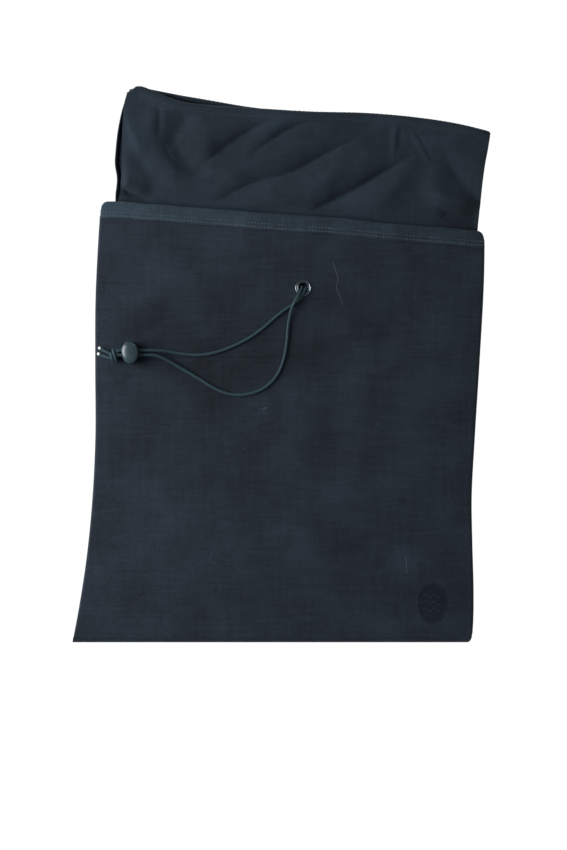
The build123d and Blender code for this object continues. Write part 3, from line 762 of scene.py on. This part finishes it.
# ---- deck
CLIMB_START, CLIMB_END = 153.5, 192.0  # where the upper layer leaves its flat part and meets the rim's height
SIDE_DEPTH = 95.0  # how far the folded sides reach inward
LIP_TALL = 8.5  # the lower layer stands up along its left edge behind the hem
RIM_TUCK = 0.6  # how far the upper layer's end stays inside the rim's line
RIM_OVER = 2.35  # how far the upper layer rises onto the rim
RIM_BLEND = 13.0  # over this distance
SHARP = (3.2, 4.6, 0.1)  # widths and shoulders of a sharp crease
DECK_CREASES = [
    ([(-99, 280), (-97, 248), (-108, 218), (-92, 199), (-40, 182)], 4.6, 13, 15, 0.4),
    ([(6, 252), (-38, 228), (-90, 190)], 3.8, 11, 10, 0.4),
    ([(74, 256), (38, 246), (11, 236), (-40, 202)], 3.8, 10, 9, 0.35),
    ([(86, 232), (40, 207), (8, 191), (-31, 180), (-76, 158)], 4.6, 11, 10, 0.4),
    ([(138, 212), (100, 190), (78, 177), (38, 157), (16, 144)], 5.4, 11, 11, 0.4),
    ([(-2, 249), (-40, 229), (-84, 196)], 1.5, *SHARP),
    ([(66, 254), (38, 247), (11, 237), (-34, 207)], 1.8, *SHARP),
    ([(80, 230), (40, 208), (8, 192), (-31, 181), (-68, 161)], 2.2, *SHARP),
    ([(132, 208), (100, 191), (78, 178), (38, 158), (22, 149)], 2.8, *SHARP),
    ([(-124, 270), (-122, 246), (-124, 220)], 1.6, *SHARP),
    ([(-120, 226), (-108, 204), (-86, 190)], 1.2, *SHARP),
    ([(150, 158), (172, 150), (200, 140)], 2.6, *SHARP),
    ([(-164, 180), (-152, 172), (-136, 163)], 2.4, *SHARP),
    ([(116, 256), (114, 232), (111, 202)], -1.7, 2.6, 3.6, 0.2),
    ([(126, 242), (152, 194)], -0.9, 2.0, 2.6, 0.4),
    ([(136, 176), (172, 164), (206, 158)], -5.6, 8, 15, 0.0),
    ([(150, 150), (184, 147), (216, 146)], 3.6, 9, 8, 0.0),
    ([(160, 214), (178, 184), (204, 160)], 3.0, 14, 12, 0.5),
    ([(-172, 184), (-154, 179), (-128, 168)], -3.8, 14, 6, 0.0),
    ([(-166, 178), (-150, 170), (-124, 162)], 4.0, 5, 5, 0.0),
    ([(-150, 226), (-136, 194), (-104, 174)], 3.2, 16, 12, 0.5),
    ([(-160, 256), (-146, 226), (-140, 200)], -2.0, 8, 8, 0.3),
]


def deck_wave(x, y):
    """Wrinkles of the deck's upper layer where it shows above the tunnel."""
    wave = 1.2 * noise(x, y, 44, 61) + 0.7 * noise(x, y, 21, 67) + 0.26 * noise(x, y, 10, 71)
    for line, *shape in DECK_CREASES:
        wave += crease(x, y, line, *shape)
    return wave


def upper_height(x, y):
    """Middle of the deck's upper layer: flat under the tunnel, then up over the hem behind it."""
    climb = step((y - HEM_SLOPE * x - CLIMB_START) / (CLIMB_END - CLIMB_START))
    z = UPPER_Z + (RIM_HIGH_Z - UPPER_Z) * climb
    to_rim = rim_high(x) - y
    shown = step((y - HEM_SLOPE * x - 150.0) / 12.0) * step((to_rim - 2.0) / 14.0)
    sides = step((x - deck_left_high(y)) / 6.0) * step((deck_right(y) - x) / 6.0)
    over = RIM_OVER * step((RIM_BLEND - to_rim) / (RIM_BLEND - RIM_TUCK))
    return z + over + deck_wave(x, y) * shown * (0.25 + 0.75 * sides)


rows = np.concatenate([np.linspace(0, 0.72, 70), np.linspace(0.72, 1, 110)[1:]])[:, None]
y = np.full((1, 190), FOLD_Y)
for _ in range(2):  # first from the bottom edge's points, then from the rows' own
    x = deck_left_high(y) + (deck_right(y) - deck_left_high(y)) * np.linspace(0, 1, 190)[None, :]
    y = FOLD_Y + rows * (rim_high(x) - RIM_TUCK - FOLD_Y)
upper = cloth_piece("deck_upper", np.stack([x, y, upper_height(x, y)], -1))
finish_piece(upper, deck_look, "deck", ["deck_upper_panel"])

shares = np.concatenate([np.linspace(0, 0.024, 12), np.linspace(0.024, 1, 150)[1:]])
x, y = region(deck_left_low, deck_right, FOLD_Y, lambda x: rim_low(x) - 1.6, shares, 220)
lift = 0.9 * step((12.0 - (rim_low(x) - y)) / 12.0)
lift += LIP_TALL * step(1 - (x - deck_left_low(y)) / 3.2) * step((y - 158.0) / 16.0) * step((rim_low(x) - y) / 14.0)
lower = cloth_piece("deck_lower", np.stack([x, y, LOWER_Z + 0.02 + lift], -1))
finish_piece(lower, deck_look, "deck", ["deck_lower_panel"])


def folded_side(name, edge, sign, node):
    """Side of the deck, folded inward between the two layers like the side of a paper bag."""
    low_z, high_z = 1.9, 4.1
    reach = np.concatenate([np.linspace(0, 1, 34), np.ones(13), np.linspace(1, 0, 34)])
    turn = np.concatenate([np.full(34, -math.pi / 2), np.linspace(-math.pi / 2, math.pi / 2, 15)[1:-1],
                           np.full(34, math.pi / 2)])
    y = np.linspace(FOLD_Y + 2, high(node).y - 0.5, 160)[:, None]
    middle, radius = (low_z + high_z) / 2, (high_z - low_z) / 2
    inward = (SIDE_DEPTH - radius) * reach + radius * np.cos(turn)
    spread = step((y - 215.0) / 40.0) * (1 - reach) ** 2
    outer = np.where(turn > 0, 3.2, 0.0) * spread
    inset = 0.4 + (3.6 * step((y - 156.0) / 16.0) if sign < 0 else 0)
    x = edge(y) - sign * (inward[None, :] + inset)
    z = middle + radius * np.sin(turn)[None, :] + outer
    surface = np.stack([x, y + 0 * x, z + 0 * x], -1)
    piece = cloth_piece(name, surface if sign > 0 else surface[:, ::-1])
    return finish_piece(piece, deck_look, "deck", [node])


side_left = folded_side("deck_fold_left", deck_left_low, -1, "deck_side_left")
side_right = folded_side("deck_fold_right", deck_right, 1, "deck_side_right")


# ---- elastic rim
RIM_MEET_Z = 8.0  # the two runs of the rim meet at this height
RIM_TURN = 5.0  # radius of the turn there


def rim_path(points, level):
    """One run of the rim, turned to meet the other run halfway up at both ends."""
    line = along(points, 500)
    run = np.column_stack([line, np.full(len(line), level)])
    ends = []
    for end, near in ((run[0], run[20]), (run[-1], run[-21])):
        d = (near - end) / np.linalg.norm(near - end)
        a = np.linspace(0, math.pi / 2, 10)[:, None]
        rise = np.array([[0, 0, 1.0]]) * (RIM_MEET_Z - level) * (1 - np.sin(a))
        ends.append(end + d * RIM_TURN * (1 - np.cos(a)) + rise)
    inside = (np.linalg.norm(run - run[0], axis=1) > RIM_TURN) & (np.linalg.norm(run - run[-1], axis=1) > RIM_TURN)
    path = np.concatenate([ends[0], run[inside], ends[1][::-1]])
    return resample(path, 0.8)[0]


def gathered(seed):
    """Skin of the rim's casing: cloth rucked by the elastic inside."""
    def radius(s, angle):
        ruck = 0.16 * np.sin(s * TURN / 4.6 + 1.4 * noise(s, s * 0, 19, seed) + 0.6 * np.sin(angle))
        return RIM_R - 0.20 + ruck * (0.55 + 0.45 * noise(s, 4 * np.sin(angle) + 0 * s, 9, seed + 1))
    return radius


def rim_run(name, points, level, seed, node):
    piece = tube_piece(name, rim_path(points, level), gathered(seed), 28, (0.018, MM))
    return finish_piece(piece, deck_look, "deck", [node])


rim_upper = rim_run("rim_upper", RIM_HIGH, RIM_HIGH_Z, 5, "rim_casing_upper")
rim_lower = rim_run("rim_lower", RIM_LOW, RIM_LOW_Z, 6, "rim_casing_lower")
x = np.linspace(-140, 200, 420)
y = rim_high(x) - 5.2
rim_row = stitches("rim_stitch", np.stack([x, y, upper_height(x, y) + 0.42], -1), 2.5, 0.28, "deck", rim_thread_look)


# ---- eyelet
def revolve(name, profile, centre):
    """Turned piece from a closed profile of (radius, z)."""
    p, count = np.array(profile, float), 96
    a = np.linspace(0, TURN, count, endpoint=False)
    points = np.stack([centre[0] + p[:, None, 0] * np.cos(a), centre[1] + p[:, None, 0] * np.sin(a),
                       p[:, None, 1] + 0 * a], -1)
    faces = grid_faces(len(p) + 1, count, closed=True) % (len(p) * count)
    return mesh_piece(name, points.reshape(-1, 3), faces)


def rounded(points):
    """Closed outline with its corners cut by short smooth curves."""
    p = np.array(points, float)
    out = []
    for i in range(len(p)):
        before, here, after = p[i - 1], p[i], p[(i + 1) % len(p)]
        for t in np.linspace(0, 1, 5):
            a, b = here + (before - here) * 0.35, here + (after - here) * 0.35
            out.append((1 - t) ** 2 * a + 2 * t * (1 - t) * here + t * t * b)
    return out


# Flange and barrel of the eyelet: (radius, height above the front panel's face).
EYELET_PROFILE = [(8.25, 0.02), (8.2, 0.9), (7.5, 1.6), (6.6, 1.35), (6.25, 0.55), (5.95, 0.6), (5.75, 1.45),
                  (5.35, 1.55), (5.05, 0.8), (5.0, -1.25), (5.45, -1.25), (5.5, 0.02)]
eyelet = revolve("eyelet", rounded([(radius, FRONT_TOP + rise) for radius, rise in EYELET_PROFILE]), EYELET)
finish_piece(eyelet, eyelet_look, "tunnel", ["eyelet_flange"])


# ---- drawcord, knot and tails
def braided(s, angle):
    """Skin of the drawcord: the ridges of its crossing yarns."""
    around, down = BRAID_YARNS * angle, s * TURN / BRAID_PITCH
    return CORD / 2 - 0.05 + 0.05 * (np.sin(around + down) * np.sin(around - down))


def cord_tube(name, line, *replaced):
    """Braided tube along a line, and the points that it follows."""
    path = resample(line, 0.45)[0]
    piece = tube_piece(name, path, braided, 30, (1, 1 / BRAID_PITCH))
    return finish_piece(piece, cord_look, "tunnel", replaced), path


lower_strand, lower_path = cord_tube("strand_lower", spline_line(LOWER_ROUTE), "drawcord_strand_lower")
upper_strand, upper_path = cord_tube("strand_upper", spline_line(UPPER_ROUTE), "drawcord_strand_upper")

KNOT = (-167.0, 8.5, 18.5)


def knot_wrap():
    """Line of the cord that is wound round the knot, tucked in at both ends."""
    turns = 2.15
    t = np.linspace(0, 1, 160)[:, None]
    angle = 0.4 + TURN * turns * t
    tuck = step(t / 0.12) * step((1 - t) / 0.12)
    ry, rz = 1.0 + 4.5 * tuck, 0.8 + 3.4 * tuck
    x = KNOT[0] + 0.2 + 3.2 * turns * (t - 0.5) - 0.9 * np.cos(angle)
    return np.concatenate([x, KNOT[1] + ry * np.cos(angle), KNOT[2] + rz * np.sin(angle)], axis=1)


wrap = cord_tube("knot_wrap", knot_wrap(), "cord_knot")[0]
core_one = cord_tube("knot_core_high", along([(-162.6, 13.2, 20.6), (-164.5, 11.4, 19.6), (-167.5, 10.0, 18.3),
                                              (-171.2, 10.2, 17.3)]), "cord_knot")[0]
core_two = cord_tube("knot_core_low", along([(-162.6, 8.9, 20.6), (-164.5, 7.6, 19.4), (-167.5, 6.6, 18.0),
                                             (-171.2, 5.8, 17.3)]), "cord_knot")[0]


def tail(name, points):
    """Cut end of the cord, with its white rubber core standing out a little."""
    piece, path = cord_tube(name, along(points), "cord_tails")
    direction = (path[-1] - path[-3]) / np.linalg.norm(path[-1] - path[-3])
    reach = np.linspace(-0.6, 2.4, 9)[:, None]
    core = tube_piece(name + "_core", path[-1] + direction * reach,
                      lambda s, a: 1.62 * np.sqrt(np.clip(1 - ((s - 1.2) / 1.9) ** 2, 0.02, 1)) + 0 * a, 20)
    return piece, finish_piece(core, core_look, "tunnel")


tail_high, core_high = tail("tail_high", [(-170.5, 10, 17.4), (-174, 11.6, 16.8), (-177.8, 13.6, 15.6),
                                          (-181.0, 15.4, 14.9)])
tail_low, core_low = tail("tail_low", [(-170.5, 5.6, 17.4), (-174.6, 7, 16.6), (-178.6, 8.4, 15.4),
                                       (-182.0, 9.7, 14.8)])


# ---- spring inside the lock
spring_low, spring_high = low("cord_lock_spring"), high("cord_lock_spring")
WIRE = 0.35  # half the wire's thickness
COIL_TURNS = 4.5
t = np.linspace(0, 1, 420)
coil_r = (spring_high.x - spring_low.x) / 2 - WIRE
flat_ends = np.interp(t, [0, 0.18, 0.82, 1], [0, 0.04, 0.96, 1])
coil = np.stack([LOCK[0] + coil_r * np.cos(TURN * COIL_TURNS * t),
                 LOCK[1] + coil_r * np.sin(TURN * COIL_TURNS * t),
                 spring_low.z + WIRE + (spring_high.z - spring_low.z - 2 * WIRE) * flat_ends], -1)
spring = tube_piece("lock_spring", coil, lambda s, a: WIRE + 0 * a, 10)
finish_piece(spring, spring_look, "cord_lock", ["cord_lock_spring"])
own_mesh(spring)


# ---- domed cap of the lock's button
CAP_FOOT = high("cord_lock_body").z + 2.9  # clears the body when the button is pressed right in
CAP_X, CAP_Y, CAP_TALL = 7.95, 10.9, 2.9  # half its width and length, and its height
CAP_LEAN = math.radians(9)
CAP_SIDES = 72
across = np.concatenate([np.linspace(0.02, 0.9, 16), np.linspace(0.9, 1, 8)[1:], [0.985, 0.94, 0.5, 0.02]])
rise = np.concatenate([0.28 + 0.72 * np.sqrt(np.clip(1 - across[:23] ** 2, 0, 1)), [0.06, 0.0, 0.0, 0.0]])
turn = np.linspace(0, TURN, CAP_SIDES, endpoint=False)
cap_x = CAP_X * across[:, None] * np.cos(turn)
cap_y = CAP_Y * across[:, None] * np.sin(turn)
cap_points = np.stack([LOCK[0] + cap_x * math.cos(CAP_LEAN) - cap_y * math.sin(CAP_LEAN),
                       LOCK[1] + cap_x * math.sin(CAP_LEAN) + cap_y * math.cos(CAP_LEAN),
                       CAP_FOOT + CAP_TALL * rise[:, None] + 0 * cap_x], -1)
cap_faces = [tuple(f) for f in grid_faces(len(across), CAP_SIDES, closed=True)]
cap_faces += [f[::-1] for f in caps(len(across) * CAP_SIDES, CAP_SIDES)]
cap = mesh_piece("lock_cap", cap_points.reshape(-1, 3), cap_faces)
finish_piece(cap, button_look, "cord_lock_button")


# ---- emblem and small marks on the front panel
def on_panel(px, py, rise):
    """Points of the front panel's face, lifted by rise."""
    px, py = np.asarray(px, float), np.asarray(py, float)
    return np.stack([px, py, FRONT_TOP + panel_wave(px, py) + rise], -1)


EMBLEM = (150.5, -239.0)
EMBLEM_WIDE, EMBLEM_TALL = 15.0, 20.9  # half the oval's axes
r, a = np.meshgrid(np.linspace(0.0, 1, 14), np.linspace(0, TURN, 72), indexing="ij")
r = np.maximum(r, 0.01)
patch = on_panel(EMBLEM[0] + EMBLEM_WIDE * r * np.cos(a), EMBLEM[1] + EMBLEM_TALL * r * np.sin(a), 0.10)
emblem = cloth_piece("emblem", patch, 0.2)
finish_piece(emblem, emblem_look, "tunnel", ["emblem_patch"])


def raised_line(name, px, py, wide, rise, look):
    """Flat bead along a line on the front panel."""
    line = resample(on_panel(px, py, rise), 0.8)[0]
    piece = tube_piece(name, line, lambda s, a: wide * (0.35 + 0.65 * np.abs(np.cos(a))) + 0 * s, 10)
    return finish_piece(piece, look, "tunnel")


a = np.linspace(0, TURN, 90)
raised_line("emblem_ring", EMBLEM[0] + 14.2 * np.cos(a), EMBLEM[1] + 19.6 * np.sin(a), 0.45, 0.16,
                         emblem_line_look)
for k, offset in enumerate((-7.0, 0.0, 7.0)):
    wx = np.linspace(-9.0, 9.0, 50)
    raised_line("emblem_wave_%d" % k, EMBLEM[0] + wx, EMBLEM[1] + offset + 1.8 * np.sin(wx * 0.7), 0.55,
                             0.16, emblem_line_look)
fibre = along([(51.5, 102.0), (54.0, 94.0), (56.5, 86.0), (55.0, 76.0), (58.5, 67.0), (61.5, 59.0)], 80)
raised_line("lint_long", fibre[:, 0], fibre[:, 1], 0.10, 0.12, lint_look)
for k, (fx, fy, turn, long) in enumerate(((-16.5, -44, 0.4, 5), (-37, -85, 1.9, 2.0), (-173.5, -121, 0.8, 2.2),
                                          (125, -201, 1.7, 16), (96, -60, 2.4, 2.0), (-70, -190, 0.2, 1.6))):
    bend = np.linspace(-0.5, 0.5, 14)
    raised_line("lint_%d" % k, fx + long * bend * math.cos(turn) + 0.25 * np.sin(7 * bend),
                             fy + long * bend * math.sin(turn), 0.09, 0.10, lint_look)


# ---- CAD parts that are shown as they are
CAD_LOOKS = {
    "rim_shock_cord": tape_look, "grab_loop": strap_look, "grab_loop_patch": patch_look,
    "drawcord_channel_front": tape_look, "drawcord_channel_back": tape_look, "drawcord_in_channel": tape_look,
    "eyelet_washer": eyelet_look, "cord_lock_body": lock_look, "cord_lock_button": button_look,
}
for name, look in CAD_LOOKS.items():
    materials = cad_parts[name].data.materials
    materials.clear()
    materials.append(look)


# ---- start points and paths of the two cords in metres, worked out and not used
tuple(c * MM for c in LOWER_ROUTE[0])
[tuple(p) for p in lower_path * MM]
tuple(c * MM for c in UPPER_ROUTE[0])
[tuple(p) for p in upper_path * MM]


# ---- floor, light and camera
floor_mesh = bpy.data.meshes.new("floor")
floor_mesh.from_pydata([(-4, -4, 0), (4, -4, 0), (4, 4, 0), (-4, 4, 0)], [], [(0, 1, 2, 3)])
floor = add("floor", floor_mesh)
floor.location.z = -0.0006  # just under the lowest cloth
white = bpy.data.materials.new("white_floor")
white.use_nodes = True
tree = white.node_tree
tree.nodes.clear()
glow = tree.nodes.new("ShaderNodeEmission")
glow.inputs["Strength"].default_value = 1.02
out = tree.nodes.new("ShaderNodeOutputMaterial")
tree.links.new(glow.outputs[0], out.inputs["Surface"])
floor_mesh.materials.append(white)


def area_light(name, place, aim, size, power):
    data = bpy.data.lights.new(name, "AREA")
    data.shape = "RECTANGLE"
    data.size, data.size_y = size
    data.energy = power
    lamp = add(name, data)
    lamp.location = place
    direction = Vector(aim) - Vector(place)
    lamp.rotation_euler = direction.to_track_quat("-Z", "Y").to_euler()


area_light("key", (-1.0, 0.12, 0.70), (-0.15, -0.05, 0), (0.7, 1.1), KEY_POWER)
area_light("fill", (0.9, 1.3, 1.5), (0, 0, 0), (0.8, 0.8), FILL_POWER)
world = bpy.data.worlds.new("world")
bpy.context.scene.world = world
world.use_nodes = True
background = world.node_tree.nodes["Background"]
background.inputs["Color"].default_value = (0.93, 0.96, 1.0, 1)
background.inputs["Strength"].default_value = WORLD_STRENGTH

SENSOR = 36
camera = add("camera", bpy.data.cameras.new("camera"))
camera.location = (0.002, -0.061, 2.513)  # 2.5 m above the skirt's upper face
camera.data.lens = SENSOR * 2500 / 850  # so 1 mm there is 1 pixel of the photograph's 850
camera.data.sensor_width = SENSOR
camera.data.clip_end = 20
bpy.context.scene.camera = camera
bpy.context.scene.view_settings.view_transform = "Standard"
